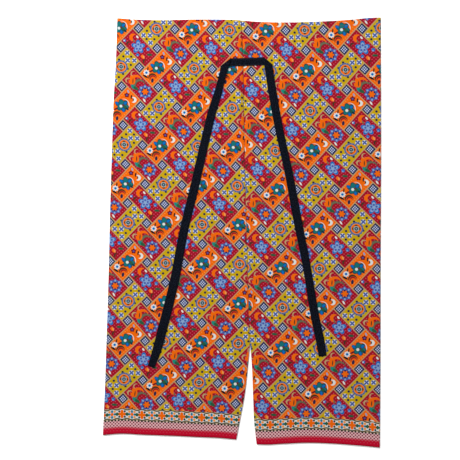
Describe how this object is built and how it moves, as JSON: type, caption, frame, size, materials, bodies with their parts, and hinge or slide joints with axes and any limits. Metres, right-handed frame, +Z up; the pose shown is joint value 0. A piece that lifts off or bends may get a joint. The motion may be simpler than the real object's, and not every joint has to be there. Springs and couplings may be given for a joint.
{
  "type": "thai fisherman pants laid flat",
  "caption": "Wide-legged wrap pants of printed cotton, laid flat with the back up, with a long narrow waist tie sewn across the centre back seam.",
  "frame": {"origin": "middle of the laid-out garment's outline, on the surface that it lies on", "axes": "+Z is up out of the back of the garment, +Y towards the waist, +X to the right seen from above"},
  "size_m": [0.6464, 1.0006, 0.0064],
  "materials": {
    "printed_cotton": "soft plain-weave cotton with an all-over multicolour print, matt",
    "black_cotton": "black plain-weave cotton, matt"
  },
  "bodies": {
    "root": {"left_leg": "printed_cotton", "right_leg": "printed_cotton", "tie_middle": "black_cotton", "tie_left_end": "black_cotton", "tie_right_end": "black_cotton"}
  },
  "joints": []
}
